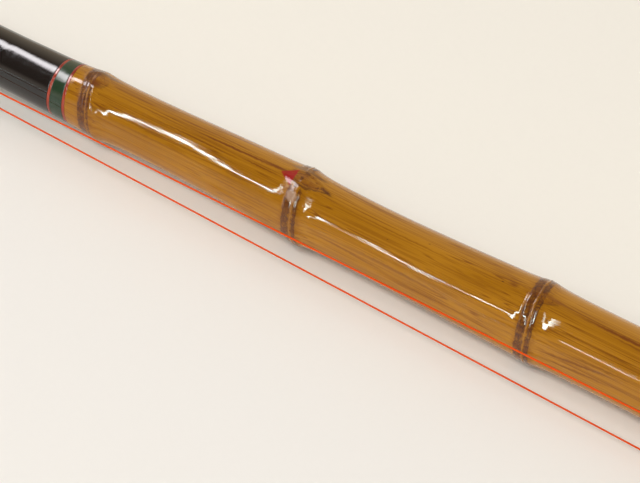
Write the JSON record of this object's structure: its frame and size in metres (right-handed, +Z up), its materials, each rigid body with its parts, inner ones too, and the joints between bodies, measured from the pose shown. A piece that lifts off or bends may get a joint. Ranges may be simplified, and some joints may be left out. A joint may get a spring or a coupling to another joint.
{
  "type": "bamboo fishing rod",
  "caption": "Lacquered bamboo rod in slip-jointed sections, with its line put up round a button beside the grip.",
  "frame": {"origin": "centre of the rod's outer box, at the level that its thickest piece rests on", "axes": "+X along the rod from tip to butt, +Z up, the line button on the -Y side"},
  "size_m": [1.0657, 0.0287, 0.0189],
  "materials": {
    "bamboo": "heat-straightened bamboo under clear gloss lacquer, golden brown with fine fibre streaks",
    "black_lacquer": "glossy black lacquer over thread",
    "green_lacquer": "glossy dark green lacquer",
    "red_lacquer": "glossy red lacquer",
    "black_thread": "close-wound black silk thread under thin lacquer",
    "horn": "polished dark buffalo horn",
    "brass": "polished brass with light tarnish",
    "steel": "bright steel wire",
    "orange_line": "thin orange-red level line, slightly glossy",
    "red_cord": "red braided cord and silk thread",
    "cork": "plain turned wood stem"
  },
  "bodies": {
    "grip": {"grip_culm": "bamboo", "mouth_wrap": "black_thread", "mouth_red_ring": "red_lacquer", "black_socket_wrap": "black_lacquer", "front_red_ring": "red_lacquer", "green_band": "green_lacquer", "rear_red_ring": "red_lacquer", "butt_red_ring": "red_lacquer", "butt_wrap": "black_thread", "keeper_eye": "brass", "keeper_wrap": "black_thread", "button_saddle": "horn", "saddle_wrap_front": "black_thread", "saddle_wrap_rear": "black_thread", "button_pin": "brass", "button_washer": "brass", "line_grip_run": "orange_line", "hook": "steel", "hook_snell": "red_cord"},
    "button": {"line_button": "horn"},
    "butt_plug": {"butt_plug_stem": "cork", "butt_cap": "horn"},
    "middle": {"middle_culm": "bamboo", "middle_base_wrap": "black_thread", "middle_ring_rear": "red_lacquer", "middle_socket_wrap": "black_lacquer", "middle_ring_front": "red_lacquer", "middle_mouth_wrap": "black_thread"},
    "tip": {"tip_culm": "bamboo", "tip_base_wrap": "black_thread", "tip_red_ring": "red_lacquer", "tip_splice_wrap": "black_thread", "tip_loop_wrap": "red_cord", "tip_loop": "red_cord", "line_tip_run": "orange_line", "line_knot": "orange_line"}
  },
  "joints": [
    {"name": "middle_slide", "type": "slide", "parent": "grip", "child": "middle", "axis": [-1, 0, 0], "range_m": [0, 0.045]},
    {"name": "tip_slide", "type": "slide", "parent": "middle", "child": "tip", "axis": [-1, 0, 0], "range_m": [0, 0.035]},
    {"name": "button_spin", "type": "hinge", "parent": "grip", "child": "button", "pos_m": [0.4081, -0.00977, 0.00821], "axis": [0, -0.9965, -0.0837], "continuous": true},
    {"name": "plug_slide", "type": "slide", "parent": "grip", "child": "butt_plug", "axis": [1, 0, 0], "range_m": [0, 0.022]}
  ]
}
